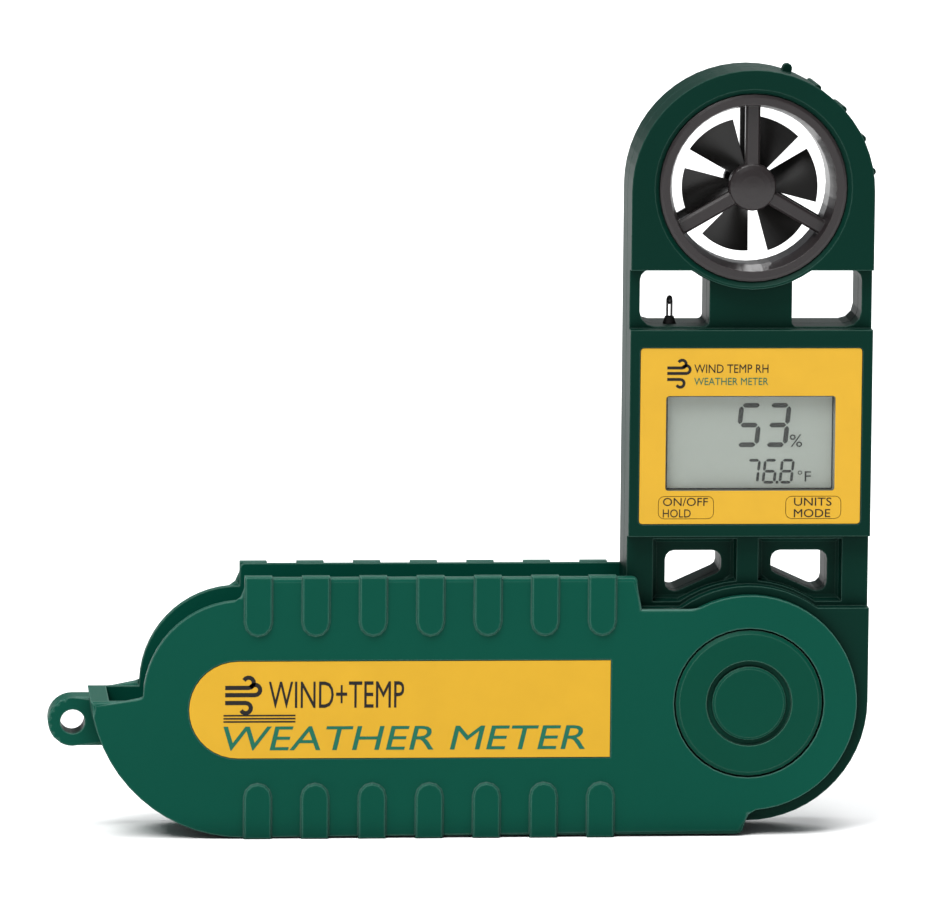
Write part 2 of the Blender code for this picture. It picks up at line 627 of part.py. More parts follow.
def build_case(parent):
    front = build_case_half("meter_front_case", -1, parent)
    rear = build_case_half("meter_rear_case", 1, parent)
    overlay_z = DISPLAY_BOTTOM + OVERLAY_RISE + OVERLAY_SIZE[1] / 2
    width, height = OVERLAY_SIZE
    recess_floor = -CASE_FACE + OVERLAY_RECESS
    recess = prism("overlay_recess", [block(CASE_SHIFT, overlay_z, width + 2 * FILM_GAP,
                                            height + 2 * FILM_GAP, 0.0006)],
                   -CASE_FACE - OVERSHOOT, recess_floor, parent)
    cut(front, recess)
    margin = WINDOW_MARGIN + GAP
    view = prism("view_opening", [block(CASE_SHIFT, VIEW_HEIGHT, VIEW_SIZE[0] + 2 * margin,
                                        VIEW_SIZE[1] + 2 * margin, 0.0008)],
                 -CASE_FACE, -CASE_FACE + CASE_WALL + OVERSHOOT, parent)
    cut(front, view)
    film = prism("display_overlay", [block(CASE_SHIFT, overlay_z, width, height, 0.0005)],
                 recess_floor - FILM_GAP - OVERLAY_THICKNESS, recess_floor - FILM_GAP, parent)
    film_view = prism("film_view", [block(CASE_SHIFT, VIEW_HEIGHT, *VIEW_SIZE, 0.0005)],
                      -CASE_FACE - OVERSHOOT, 0, parent)
    cut(film, film_view)
    key_width, key_height = KEY_SIZE
    pocket_floor = recess_floor - FILM_GAP + KEY_TRAVEL + FILM_GAP
    for key_name, x in key_places():
        holes = prism(key_name + "_pocket", [block(x, KEY_HEIGHT, key_width + 2 * FILM_GAP,
                                                   key_height + 2 * FILM_GAP, 0.001)],
                      -CASE_FACE - OVERSHOOT, pocket_floor, parent)
        stem_hole = turned(key_name + "_stem_hole",
                           [(0, -CASE_FACE), (KEY_STEM + GAP, -CASE_FACE), (KEY_STEM + GAP, 0), (0, 0)],
                           parent, (x, 0, KEY_HEIGHT), 16)
        cut(front, holes)
        cut(front, stem_hole)
        cut(film, holes)
    for i, (x, z) in enumerate(screw_places()):
        head_seat = CASE_FACE - SCREW_HEAD_HEIGHT - 2 * GAP
        tip = -CASE_FACE + CASE_WALL + 0.0016
        bore = SCREW_SHANK + GAP
        profile = [(0, CASE_FACE + OVERSHOOT), (SCREW_HEAD + GAP, CASE_FACE + OVERSHOOT),
                   (SCREW_HEAD + GAP, head_seat), (bore, head_seat), (bore, tip - GAP), (0, tip - GAP)]
        hole = turned(f"case_screw_hole_{i + 1}", profile, parent, (x, 0, z), 12)
        cut(front, hole)
        cut(rear, hole)
        top = CASE_FACE - GAP
        under = head_seat + GAP
        profile = [(0, tip), (SCREW_SHANK, tip), (SCREW_SHANK, under), (SCREW_HEAD, under),
                   (SCREW_HEAD, top - 0.0003), (SCREW_HEAD - 0.0003, top), (0, top)]
        screw = turned(f"case_screw_{i + 1}", profile, parent, (x, 0, z), 12)
        bars = [block(0, 0, 0.0018, 0.0005), block(0, 0, 0.0005, 0.0018)]
        for k, bar in enumerate(bars):
            slot = prism(f"case_screw_slot_{i + 1}_{k}", [bar], top - 0.0006, top + 0.001, parent,
                         location=(x, 0, z))
            cut(screw, slot)
        finish(screw, "steel")
    washer_seat = CASE_FACE - WASHER_THICKNESS - GAP
    inner, outer = WASHER_RADII
    seat = turned("washer_seat", [(inner - GAP, washer_seat), (outer + GAP, washer_seat),
                                  (outer + GAP, CASE_FACE + OVERSHOOT),
                                  (inner - GAP, CASE_FACE + OVERSHOOT)], parent, steps=32)
    cut(rear, seat)
    door_hole = turned("door_hole", door_profile(GAP, CASE_FACE + OVERSHOOT, 0), parent,
                       (CASE_SHIFT, 0, CELL_HEIGHT), 40)
    cut(rear, door_hole)
    vents = [block(CASE_SHIFT + k * 0.0018, DISPLAY_TOP + UPPER_FRAME * 0.30, 0.0009, 0.0030)
             for k in (-1, 0, 1)]
    cut(rear, prism("humidity_vents", vents, 0, CASE_FACE + OVERSHOOT, parent))
    finish(front, "case_green")
    finish(rear, "case_green")
    finish(film, "yellow_film")


def door_profile(margin, top, bottom):
    """The battery door's steps: a wide face on top of a narrower plug."""
    step = CASE_FACE - DOOR_LIP
    wide = DOOR_RADIUS + margin
    narrow = DOOR_RADIUS - 0.0010 + margin
    return [(0, top), (wide, top), (wide, step - margin), (narrow, step - margin), (narrow, bottom),
            (0, bottom)]


def build_display(parent):
    """Window, liquid crystal panel and its frame, contact strips, and the board with its parts."""
    window_front = -CASE_FACE + OVERLAY_RECESS + FILM_GAP
    window_size = [size + 2 * WINDOW_MARGIN for size in VIEW_SIZE]
    window = prism("display_window", [block(CASE_SHIFT, VIEW_HEIGHT, *window_size, 0.0005)],
                   window_front, window_front + WINDOW_THICKNESS, parent)
    finish(window, "clear_window")
    lcd_front = -CASE_FACE + CASE_WALL + FILM_GAP
    lcd_back = lcd_front + LCD_THICKNESS
    lcd_width = VIEW_SIZE[0] + 2 * LCD_MARGIN[0]
    lcd_height = VIEW_SIZE[1] + 2 * LCD_MARGIN[1]
    panel = prism("lcd_panel", [block(CASE_SHIFT, VIEW_HEIGHT, lcd_width, lcd_height)], lcd_front,
                  lcd_back, parent)
    finish(panel, "lcd_grey")
    inner = (lcd_width + 2 * GAP, lcd_height + 2 * FILM_GAP)
    outer = [size + 2 * LCD_FRAME_WALL for size in inner]
    frame = prism("lcd_frame", [block(CASE_SHIFT, VIEW_HEIGHT, *outer)], lcd_front, lcd_back, parent)
    cut(frame, prism("lcd_frame_opening", [block(CASE_SHIFT, VIEW_HEIGHT, *inner)], lcd_front - 0.001,
                     lcd_back + 0.001, parent))
    finish(frame, "black_plastic")
    strip_front = lcd_back + FILM_GAP
    strip_back = strip_front + ZEBRA_THICKNESS
    for name, side in (("upper_contact_strip", 1), ("lower_contact_strip", -1)):
        z = VIEW_HEIGHT + side * (lcd_height - ZEBRA_SIZE[1]) / 2
        strip = prism(name, [block(CASE_SHIFT, z, *ZEBRA_SIZE)], strip_front, strip_back, parent)
        finish(strip, "grey_rubber")
    board_front = strip_back + FILM_GAP
    board_back = board_front + BOARD_THICKNESS
    board_width = CASE_WIDTH - 2 * (CASE_WALL + BOARD_MARGIN)
    board_height = DISPLAY_HEIGHT - 2 * (CASE_WALL + BOARD_MARGIN)
    middle = DISPLAY_BOTTOM + DISPLAY_HEIGHT / 2
    board = prism("circuit_board", [block(CASE_SHIFT, middle, board_width, board_height, 0.001)],
                  board_front, board_back, parent)
    finish(board, "board_green")
    for name, x in key_places():
        body = prism(name.replace("key", "switch"), [block(x, KEY_HEIGHT, *SWITCH_SIZE)],
                     board_front - FILM_GAP - SWITCH_HEIGHT, board_front - FILM_GAP, parent)
        finish(body, "chip_black")
    chip_z = middle - board_height / 2 + 0.0042
    chip = prism("microcontroller", [block(CASE_SHIFT - 0.011, chip_z, 0.0070, 0.0070)],
                 board_back + FILM_GAP, board_back + 0.0014, parent, 0.0002)
    finish(chip, "chip_black")
    crystal = prism("crystal", [block(CASE_SHIFT + 0.012, chip_z, 0.0060, 0.0020, 0.0009)],
                    board_back + FILM_GAP, board_back + 0.0016, parent)
    finish(crystal, "steel")
    cell_back = CASE_FACE - CASE_WALL - 0.0006
    cell_front = cell_back - CELL_THICKNESS
    profile = [(0, cell_front), (CELL_RADIUS - 0.0012, cell_front), (CELL_RADIUS - 0.0010, cell_front
               + 0.0004), (CELL_RADIUS, cell_front + 0.0006), (CELL_RADIUS, cell_back), (0, cell_back)]
    place = (CASE_SHIFT, 0, CELL_HEIGHT)
    finish(turned("coin_cell", profile, parent, place), "steel")
    spring = prism("battery_spring", [block(0, 0, 0.0110, 0.0032, 0.0005)], board_back + FILM_GAP,
                   cell_front - FILM_GAP, parent, location=place)
    hollow = prism("battery_spring_gap", [block(0.0015, 0, 0.0110, 0.0050)], board_back + 0.0004,
                   cell_front - 0.0004, parent, location=place)
    cut(spring, hollow)
    finish(spring, "brass")
    clip_x = CASE_SHIFT + CELL_RADIUS + GAP
    clip = box("battery_clip", (clip_x, board_back + FILM_GAP, CELL_HEIGHT - 0.003),
               (clip_x + 0.0004, cell_back, CELL_HEIGHT + 0.003), parent)
    finish(clip, "brass")
    ring = 0.0009
    gasket_width = CASE_WIDTH - 2 * (CASE_WALL + 0.0002 + FILM_GAP)
    gasket_height = DISPLAY_HEIGHT - 2 * (CASE_WALL + FILM_GAP)
    gasket = prism("case_gasket", [block(CASE_SHIFT, middle, gasket_width, gasket_height, 0.0009)],
                   -GASKET_DEPTH / 2, GASKET_DEPTH / 2, parent)
    cut(gasket, prism("gasket_opening", [block(CASE_SHIFT, middle, gasket_width - 2 * ring,
                                               gasket_height - 2 * ring, 0.0005)], -0.002, 0.002, parent))
    finish(gasket, "grey_rubber")


def build_keys(parent):
    cap_back = -CASE_FACE + OVERLAY_RECESS - FILM_GAP
    cap_front = cap_back - OVERLAY_THICKNESS
    strip_back = -CASE_FACE + CASE_WALL + 3 * FILM_GAP + LCD_THICKNESS + ZEBRA_THICKNESS
    switch_face = strip_back - FILM_GAP - SWITCH_HEIGHT
    stem_end = switch_face - KEY_TRAVEL - FILM_GAP
    for name, x in key_places():
        place = (x, 0, KEY_HEIGHT)
        key = prism(name, [block(0, 0, *KEY_SIZE, 0.0009)], cap_front, cap_back, parent, location=place)
        middle = (cap_front + cap_back) / 2
        stem = turned(name + "_stem", [(0, middle), (KEY_STEM, middle), (KEY_STEM, stem_end),
                                       (0, stem_end)], parent, place, 16)
        join(key, stem)
        finish(key, "yellow_film")


def build_battery_door(parent):
    bottom = CASE_FACE - CASE_WALL - GAP
    door = turned("battery_door", door_profile(0, CASE_FACE - FILM_GAP, bottom), parent,
                  (CASE_SHIFT, 0, CELL_HEIGHT), 40)
    slot = prism("coin_slot", [block(0, 0, *DOOR_SLOT, 0.0007)], CASE_FACE - 0.0009,
                 CASE_FACE + OVERSHOOT, parent, location=(CASE_SHIFT, 0, CELL_HEIGHT))
    cut(door, slot)
    finish(door, "case_green")


def build_sensors(parent):
    """Air temperature bead in the left window, humidity sensor in the neck, pickup below the vane."""
    x = CASE_SHIFT + THERMISTOR_OFFSET
    sill = DISPLAY_TOP + UPPER_SILL
    foot = DISPLAY_TOP - CASE_WALL + GAP
    bead_z = sill + THERMISTOR_HEIGHT
    rise = bead_z - foot
    bead = turned("thermistor", [(0, -rise), (LEAD_SPREAD / 2 + LEAD_RADIUS, -rise),
                                 (LEAD_SPREAD / 2 + LEAD_RADIUS, -rise + 0.0005), (0, -rise + 0.0005)],
                  parent, steps=12)
    stretch = 1.4
    drop = [(0, -stretch * THERMISTOR_BEAD)]
    for angle in (30, 60, 90, 120, 150):
        turn = math.radians(angle)
        drop.append((THERMISTOR_BEAD * math.sin(turn), -stretch * THERMISTOR_BEAD * math.cos(turn)))
    drop.append((0, stretch * THERMISTOR_BEAD))
    join(bead, turned("thermistor_bead", drop, bead, steps=10))
    for side in (-1, 1):
        lead = turned(f"thermistor_lead_{side + 2}", [(0, -rise + 0.0002), (LEAD_RADIUS, -rise + 0.0002),
                                                      (LEAD_RADIUS, 0), (0, 0)], bead,
                      (side * LEAD_SPREAD / 2, 0, 0), 6)
        join(bead, lead)
    bead.rotation_euler.x = math.radians(90)
    bead.location = (x, 0, bead_z)
    finish(bead, "chip_black")
    bore = LEAD_SPREAD / 2 + LEAD_RADIUS + FILM_GAP
    low, high = DISPLAY_TOP - CASE_WALL + GAP, sill + 0.0012
    seal = turned("thermistor_seal", [(bore, low), (SEAL_RADIUS - FILM_GAP, low),
                                      (SEAL_RADIUS - FILM_GAP, sill), (bore + 0.0001, high), (bore, high)],
                  parent, steps=14)
    seal.rotation_euler.x = math.radians(90)
    seal.location = (x, 0, 0)
    finish(seal, "black_plastic")
    width, depth, height = PICKUP_SIZE
    pickup_top = VANE_HEIGHT - VANE_RADIUS - 2 * GAP - 0.0004
    pickup = box("vane_pickup", (CASE_SHIFT - width / 2, -depth / 2, pickup_top - height),
                 (CASE_SHIFT + width / 2, depth / 2, pickup_top), parent)
    finish(pickup, "chip_black")
    ribbon_width, ribbon_depth = RIBBON_SIZE
    ribbon_back = -(GASKET_DEPTH / 2 + GAP)
    wires = box("pickup_lead", (CASE_SHIFT - 0.0006 - ribbon_width, ribbon_back - ribbon_depth,
                                DISPLAY_TOP - CASE_WALL - RIBBON_TAIL),
                (CASE_SHIFT - 0.0006, ribbon_back, pickup_top - height - GAP), parent)
    finish(wires, "grey_rubber")
    width, depth, height = HUMIDITY_SIZE
    left, low = CASE_SHIFT + 0.0002, DISPLAY_TOP + 0.0010
    humidity = box("humidity_sensor", (left, -depth / 2, low), (left + width, depth / 2, low + height),
                   parent)
    finish(humidity, "white_ceramic")


# Wind vane

def spider(name, sign, ring, parent, place, hub_profile):
    """Joins three spokes and a domed hub to a ring."""
    outer = sign * (VANE_DEPTH / 2 - SPIDER_INSET)
    inner = outer - sign * SPOKE_DEPTH
    for k in range(SPOKE_COUNT):
        spoke = prism(f"{name}_spoke_{k}", [block(VANE_MOUTH / 2 + 0.0004, 0, VANE_MOUTH, SPOKE_WIDTH)],
                      outer, inner, parent, 0.0004, location=place)
        spoke.rotation_euler.y = -math.radians(90 + 360 / SPOKE_COUNT * k)
        join(ring, spoke)
    hub = turned(name + "_hub", hub_profile, parent, place, 24)
    join(ring, hub)
    pocket_depth = inner - sign * 0.0002
    pocket = turned(name + "_jewel_pocket",
                    [(0, pocket_depth - sign * 0.001), (JEWEL_RADIUS + GAP, pocket_depth - sign * 0.001),
                     (JEWEL_RADIUS + GAP, pocket_depth + sign * (JEWEL_THICKNESS + GAP)),
                     (0, pocket_depth + sign * (JEWEL_THICKNESS + GAP))], parent, place, 16)
    cut(ring, pocket)
    jewel = turned(f"{name}_jewel", [(SHAFT_RADIUS + 0.0002, pocket_depth),
                                     (JEWEL_RADIUS, pocket_depth),
                                     (JEWEL_RADIUS, pocket_depth + sign * JEWEL_THICKNESS),
                                     (SHAFT_RADIUS + 0.0002, pocket_depth + sign * JEWEL_THICKNESS)],
                   parent, place, 16)
    finish(jewel, "sapphire")
    return pocket_depth + sign * JEWEL_THICKNESS


def hub_profile(sign):
    outer = sign * (VANE_DEPTH / 2 - SPIDER_INSET)
    inner = outer - sign * (SPOKE_DEPTH + 0.0002)
    dome = [(SPIDER_HUB * math.cos(math.radians(a)), outer + sign * 0.0009 * math.sin(math.radians(a)))
            for a in (0, 20, 40, 60, 78)]
    return [(0, inner), (SPIDER_HUB, inner)] + dome + [(0, outer + sign * 0.00092)]


def blade(angle):
    """One pitched blade as a closed grid about the impeller's axis."""
    mesh = bmesh.new()
    across, along = 5, 3
    sheets = []
    for side in (-1, 1):
        rows = []
        for i in range(across):
            turn = i / (across - 1) - 0.5
            theta = math.radians(angle + BLADE_SPAN * turn)
            y = BLADE_RISE * turn + side * BLADE_THICKNESS / 2
            radii = [IMPELLER_HUB * 0.8 + (BLADE_TIP - IMPELLER_HUB * 0.8) * j / (along - 1)
                     for j in range(along)]
            rows.append([mesh.verts.new((r * math.cos(theta), y, r * math.sin(theta))) for r in radii])
        sheets.append(rows)
    for rows in sheets:
        for i in range(across - 1):
            for j in range(along - 1):
                mesh.faces.new((rows[i][j], rows[i + 1][j], rows[i + 1][j + 1], rows[i][j + 1]))
    rim = [(i, 0) for i in range(across)] + [(across - 1, j) for j in range(1, along)]
    rim += [(i, along - 1) for i in range(across - 2, -1, -1)] + [(0, j) for j in range(along - 2, 0, -1)]
    for k in range(len(rim)):
        (i, j), (m, n) = rim[k - 1], rim[k]
        mesh.faces.new((sheets[0][i][j], sheets[1][i][j], sheets[1][m][n], sheets[0][m][n]))
    return mesh


def build_vane(parent):
    place = (CASE_SHIFT, 0, VANE_HEIGHT)
    front = -VANE_DEPTH / 2
    back = VANE_DEPTH / 2
    split = back - SPIDER_INSET - SPOKE_DEPTH - GAP
    flange = VANE_RADIUS + VANE_FLANGE[0]
    under = front + VANE_FLANGE[1]
    housing = turned("vane_housing", [(VANE_MOUTH, front), (VANE_RADIUS - 0.0002, front),
                                      (flange, front + 0.0002), (flange, under),
                                      (VANE_RADIUS, under), (VANE_RADIUS, split - GAP),
                                      (VANE_THROAT, split - GAP), (VANE_THROAT, front + 0.0040)],
                     parent, place, 48)
    front_end = spider("front", -1, housing, parent, place, hub_profile(-1))
    finish(housing, "black_plastic")
    rear = turned("vane_rear_ring", [(VANE_THROAT, split), (VANE_RADIUS, split), (VANE_RADIUS, back),
                                     (VANE_MOUTH, back)], parent, place, 48)
    rear_end = spider("rear", 1, rear, parent, place, hub_profile(1))
    finish(rear, "black_plastic")
    half = IMPELLER_DEPTH / 2
    bore = SHAFT_RADIUS + 0.0002
    impeller = turned("impeller", [(bore, -half), (IMPELLER_HUB - 0.0005, -half),
                                   (IMPELLER_HUB, -half + 0.0006), (IMPELLER_HUB, half), (bore, half)],
                      parent, place, 24)
    for k in range(BLADE_COUNT):
        tool = new_object(f"blade_{k}", blade(FIRST_BLADE + 360 / BLADE_COUNT * k), parent, place)
        join(impeller, tool)
    seat = half - MAGNET_THICKNESS
    cut(impeller, turned("magnet_seat", [(0, seat - GAP), (MAGNET_RADIUS + GAP, seat - GAP),
                                         (MAGNET_RADIUS + GAP, half + 0.001), (0, half + 0.001)],
                         parent, place, 20))
    finish(impeller, "black_plastic")
    magnet = turned("impeller_magnet", [(bore, seat), (MAGNET_RADIUS, seat), (MAGNET_RADIUS, half),
                                        (bore, half)], parent, place, 20)
    finish(magnet, "magnet_grey")
    tip = 0.0004
    shaft = turned("impeller_shaft", [(0, front_end + tip), (SHAFT_RADIUS, front_end + 2 * tip),
                                      (SHAFT_RADIUS, rear_end - 2 * tip), (0, rear_end - tip)],
                   parent, place, 12)
    finish(shaft, "steel")


# Pivot

def pivot_disc(name, sign, parent):
    """A disc that turns in the sleeve's hole, with a spigot into the hub and a well for the cap."""
    face = sign * (SLEEVE_FACE + DISC_RISE)
    base = sign * SLEEVE_INNER
    well = face - sign * (CAP_THICKNESS + 0.0002)
    seat = well - sign * (PIVOT_HEAD_HEIGHT + GAP)
    bore = PIVOT_SHANK + GAP
    head = PIVOT_HEAD + GAP
    rim = CAP_RADIUS + GROOVE_WIDTH
    profile = [(bore, sign * GAP), (SPIGOT_RADIUS, sign * GAP), (SPIGOT_RADIUS, base), (DISC_RADIUS, base),
               (DISC_RADIUS, face - sign * 0.0005), (DISC_RADIUS - 0.0006, face - sign * 0.0001),
               (rim, face), (rim, well), (head, well), (head, seat), (bore, seat)]
    disc = turned(name + "_pivot_disc", profile, parent, steps=40)
    finish(disc, "pivot_green")
    cap_back = well + sign * FILM_GAP
    dome = [(CAP_RADIUS, cap_back), (CAP_RADIUS, face - sign * 0.0002),
            (CAP_RADIUS - 0.0004, face + sign * 0.00005), (0, face + sign * 0.0001)]
    cap = turned(name + "_pivot_cap", [(0, cap_back)] + dome, parent)
    finish(cap, "pivot_green")
    return seat, well


def build_pivot(parent):
    front_seat, front_well = pivot_disc("front", -1, parent)
    rear_seat, rear_well = pivot_disc("rear", 1, parent)
    under = front_seat - GAP / 2
    top = front_well + GAP / 2
    end = rear_well - 2 * GAP
    screw = turned("pivot_screw", [(0, top), (PIVOT_HEAD, top), (PIVOT_HEAD, under), (PIVOT_SHANK, under),
                                   (PIVOT_SHANK, end), (0, end)], parent, steps=32)
    cut(screw, prism("pivot_screw_slot", [block(0, 0, 0.009, 0.0009)], top - 0.001, top + 0.0006, parent))
    finish(screw, "steel")
    bore = PIVOT_SHANK + GAP
    low, high = rear_seat + GAP / 2, rear_well - GAP / 2
    nut_outline = [(PIVOT_HEAD * math.cos(math.radians(60 * k)), PIVOT_HEAD * math.sin(math.radians(60 * k)))
                   for k in range(6)]
    nut = prism("pivot_nut", [nut_outline], low, high, parent)
    cut(nut, turned("nut_bore", [(0, low - 0.001), (bore, low - 0.001), (bore, high + 0.001),
                                 (0, high + 0.001)], parent, steps=32))
    finish(nut, "brass")
    inner, outer = WASHER_RADII
    base = CASE_FACE - WASHER_THICKNESS
    washer = turned("friction_washer", [(inner, base), (outer, base), (outer, CASE_FACE),
                                        (inner, CASE_FACE)], parent)
    finish(washer, "steel")


for old in list(bpy.data.objects):
    bpy.data.objects.remove(old)

sleeve_datum = axis_empty("sleeve_datum", (PIVOT_X, 0, PIVOT_Z))
fold_axis = axis_empty("fold_axis", (PIVOT_X, 0, PIVOT_Z))
build_sleeve(sleeve_datum)
build_case(fold_axis)
build_display(fold_axis)
build_keys(fold_axis)
build_battery_door(fold_axis)
build_sensors(fold_axis)
build_vane(fold_axis)
build_pivot(fold_axis)
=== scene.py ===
import json
import math

import bmesh
import bpy
from mathutils import Matrix, Vector


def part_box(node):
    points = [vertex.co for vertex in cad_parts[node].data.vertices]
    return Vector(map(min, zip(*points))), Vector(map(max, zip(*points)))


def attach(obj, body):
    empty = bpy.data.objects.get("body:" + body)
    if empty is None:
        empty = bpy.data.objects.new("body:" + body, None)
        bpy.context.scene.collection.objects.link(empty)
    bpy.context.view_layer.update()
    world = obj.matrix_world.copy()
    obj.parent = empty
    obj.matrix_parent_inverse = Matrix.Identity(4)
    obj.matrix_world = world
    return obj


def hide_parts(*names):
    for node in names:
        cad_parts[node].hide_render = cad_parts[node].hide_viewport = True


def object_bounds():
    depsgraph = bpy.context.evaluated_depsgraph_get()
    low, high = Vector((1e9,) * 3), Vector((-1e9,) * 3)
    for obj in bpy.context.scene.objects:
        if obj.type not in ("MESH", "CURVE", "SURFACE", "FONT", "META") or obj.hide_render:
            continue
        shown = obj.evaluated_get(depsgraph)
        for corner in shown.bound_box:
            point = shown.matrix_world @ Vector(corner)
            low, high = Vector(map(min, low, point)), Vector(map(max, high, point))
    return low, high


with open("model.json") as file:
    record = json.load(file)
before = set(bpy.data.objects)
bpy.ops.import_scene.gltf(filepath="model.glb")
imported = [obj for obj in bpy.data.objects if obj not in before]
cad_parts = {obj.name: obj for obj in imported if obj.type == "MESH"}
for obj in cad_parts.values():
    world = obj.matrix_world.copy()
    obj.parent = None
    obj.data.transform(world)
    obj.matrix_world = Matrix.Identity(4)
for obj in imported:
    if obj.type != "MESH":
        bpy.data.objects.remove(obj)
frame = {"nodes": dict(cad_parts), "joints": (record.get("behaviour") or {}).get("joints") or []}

cad_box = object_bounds()


# Meter case: meter_front_case, meter_rear_case
# Two injection-moulded halves in dark green ABS with a satin skin, joined by four screws from
# behind. Corners are slightly rounded by the mould and the windows' recesses lie in shade.

def blank(name):
    """A new material, its node tree and its shader."""
    material = bpy.data.materials.new(name)
    material.use_nodes = True
    return material, material.node_tree, material.node_tree.nodes["Principled BSDF"]


def plug(tree, node, inputs):
    """Gives a node's inputs, by name, a value or another node's output."""
    for name, source in inputs.items():
        if isinstance(source, bpy.types.NodeSocket):
            tree.links.new(source, node.inputs[name])
        else:
            node.inputs[name].default_value = source
    return node


def own_place(tree):
    """A point's place in the piece's own coordinates."""
    return tree.nodes.new("ShaderNodeTexCoord").outputs["Object"]


def noise(tree, place, scale, detail):
    """Soft random clouds, from 0 to 1."""
    node = tree.nodes.new("ShaderNodeTexNoise")
    return plug(tree, node, {"Vector": place, "Scale": scale, "Detail": detail}).outputs["Fac"]


def graded(tree, value, low, high, start=0.0, stop=1.0):
    """A value that runs from low to high as another runs from start to stop."""
    node = tree.nodes.new("ShaderNodeMapRange")
    ends = {"From Min": start, "From Max": stop, "To Min": low, "To Max": high}
    return plug(tree, node, {"Value": value, **ends}).outputs["Result"]


def mixed(tree, amount, one, two, blend="MIX"):
    """Two colours mixed."""
    node = tree.nodes.new("ShaderNodeMix")
    node.data_type = "RGBA"
    node.blend_type = blend
    return plug(tree, node, {"Factor": amount, "A": one, "B": two}).outputs["Result"]


def opened(tree, reach):
    """How open the surface lies, judged within this reach."""
    node = tree.nodes.new("ShaderNodeAmbientOcclusion")
    node.samples = 6
    return plug(tree, node, {"Distance": reach}).outputs["AO"]


def bumped(tree, shader, height, strength, distance, **under):
    """Raises the shader's surface by a height, over another normal where one is given."""
    node = tree.nodes.new("ShaderNodeBump")
    plug(tree, node, {"Height": height, "Strength": strength, "Distance": distance, **under})
    plug(tree, shader, {"Normal": node.outputs["Normal"]})


def shade_of(colour, factor):
    """A colour made darker or lighter, as a node takes it."""
    return tuple(min(1.0, c * factor) for c in colour) + (1.0,)


def moulded(name, colour, roughness, gloss, highlight_colour, edge=0.0003, shade=0.004, grain=0.00003,
            streak=40.0, variation=0.12):
    """Moulded plastic: uneven pigment, fine skin texture, soft arrises with a painted highlight, and
    painted shade in corners and recesses.
    """
    material, tree, shader = blank(name)
    place = own_place(tree)
    clouds = noise(tree, place, streak, 4.0)
    pigment = mixed(tree, clouds, shade_of(colour, 1 - variation), shade_of(colour, 1 + variation))

    rounded = tree.nodes.new("ShaderNodeBevel")
    rounded.samples = 4
    plug(tree, rounded, {"Radius": edge})
    flat = tree.nodes.new("ShaderNodeNewGeometry")
    bend = tree.nodes.new("ShaderNodeVectorMath")
    bend.operation = "DOT_PRODUCT"
    plug(tree, bend, {0: rounded.outputs["Normal"], 1: flat.outputs["Normal"]})
    # Painted highlight: where the rounded normal bends away from the face, the colour is mixed towards a
    # lighter one, standing in for light caught on the arrises.
    edge_highlight = graded(tree, bend.outputs["Value"], 0.0, 0.55, start=0.995, stop=0.80)
    highlighted = mixed(tree, edge_highlight, pigment, shade_of(highlight_colour, 1.0))

    # Painted shade: the colour is darkened where nearby faces close the surface in, in corners and
    # recesses.
    painted_shade = graded(tree, opened(tree, shade), 0.30, 1.0, start=0.15, stop=0.85)
    plug(tree, shader, {"Base Color": mixed(tree, 1.0, highlighted, painted_shade, "MULTIPLY")})

    skin = noise(tree, place, 3200.0, 2.0)
    bumped(tree, shader, skin, 0.35, grain, Normal=rounded.outputs["Normal"])
    plug(tree, shader, {"Roughness": graded(tree, clouds, roughness - 0.06, roughness + 0.06),
                        "Specular IOR Level": gloss})
    return material


nodes = frame["nodes"]


def coat(material, *names):
    """Gives CAD nodes this material."""
    for name in names:
        for place in nodes[name].material_slots:
            place.material = material


# The last colour given to moulded() is the painted highlight on the arrises.
case_green = moulded("case_green", (0.0008, 0.0215, 0.0142), 0.46, 0.05, (0.10, 0.20, 0.165),
                     shade=0.005)
coat(case_green, "meter_front_case", "meter_rear_case")


# Battery door: battery_door
# A round moulded door of the same green plastic with a coin slot, turned an eighth of a turn to
# lock in the rear half of the case. Handling polishes it a little more than the case.

door_green = moulded("door_green", (0.0010, 0.0230, 0.0152), 0.38, 0.08, (0.10, 0.20, 0.165),
                     streak=90.0)
coat(door_green, "battery_door")


# Case screws: case_screw_1 to case_screw_4
# Steel pan-head screws with a cross recess, sunk in wells in the rear half of the case. They are
# zinc plated, turned on a lathe and slightly dulled by handling.

def metal(name, colour, roughness, rings, axis, contrast=0.25, distance=0.00002):
    """Machined or drawn metal: fine tool marks around or along an axis, and uneven polish."""
    material, tree, shader = blank(name)
    stretch = tree.nodes.new("ShaderNodeMapping")
    plug(tree, stretch, {"Vector": own_place(tree), "Scale": axis})
    marks = noise(tree, stretch.outputs["Vector"], rings, 5.0)
    tint = mixed(tree, marks, shade_of(colour, 1 - contrast), shade_of(colour, 1.0))
    polish = graded(tree, marks, roughness - 0.1, roughness + 0.1)
    plug(tree, shader, {"Metallic": 1.0, "Base Color": tint, "Roughness": polish})
    bumped(tree, shader, marks, 0.4, distance)
    return material


plated_steel = metal("plated_steel", (0.60, 0.61, 0.62), 0.32, 900.0, (1.0, 6.0, 1.0))
coat(plated_steel, "case_screw_1", "case_screw_2", "case_screw_3", "case_screw_4")


# Sleeve: sleeve_front_shell, sleeve_rear_cover
# The folding handle: a moulded front shell with its spine, end block and lanyard lug, closed by a
# rear cover. Mid green ABS with ribs for the fingers and a fine sparked texture on its faces.

sleeve_green = moulded("sleeve_green", (0.0015, 0.0600, 0.0390), 0.44, 0.05, (0.17, 0.33, 0.28),
                       edge=0.0004, shade=0.006, streak=26.0, variation=0.10, grain=0.00004)
coat(sleeve_green, "sleeve_front_shell", "sleeve_rear_cover")


# Sleeve label: sleeve_label
# A die-cut polycarbonate label printed in yellow and stuck in a shallow recess of the front plate.
# The print is matte, with a faint orange-peel from the rolled adhesive.

